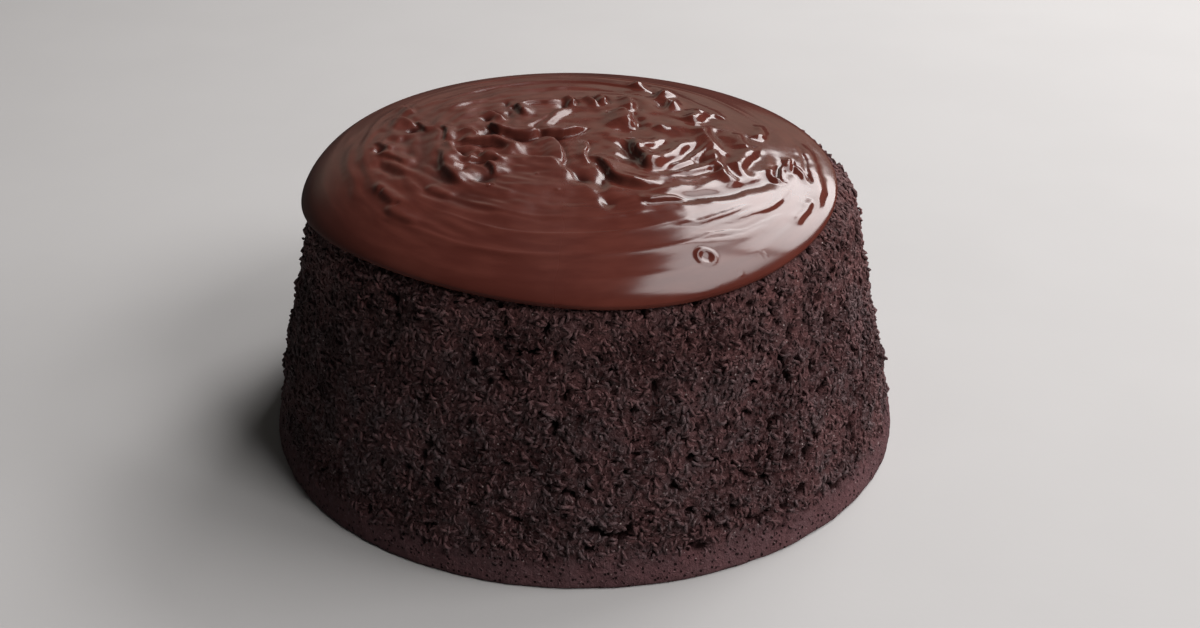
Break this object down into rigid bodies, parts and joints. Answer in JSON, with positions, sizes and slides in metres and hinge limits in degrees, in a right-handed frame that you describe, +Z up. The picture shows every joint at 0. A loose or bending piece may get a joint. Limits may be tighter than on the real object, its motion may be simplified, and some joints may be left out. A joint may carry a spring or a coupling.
{
  "type": "chocolate cake",
  "caption": "Tall round chocolate sponge cake, tapering upwards, with a thick glossy cap of spread chocolate icing on top.",
  "frame": {"origin": "middle of the sponge's flat base, on the surface that the cake stands on", "axes": "+Z up through the cake; the side that the picture shows faces -Y; +X to the right as seen from there"},
  "size_m": [0.1849, 0.1846, 0.0886],
  "materials": {
    "sponge": "matte, open dark chocolate crumb",
    "icing": "glossy, smooth spread milk-dark chocolate"
  },
  "bodies": {
    "root": {"sponge": "sponge", "icing": "icing"}
  },
  "joints": []
}
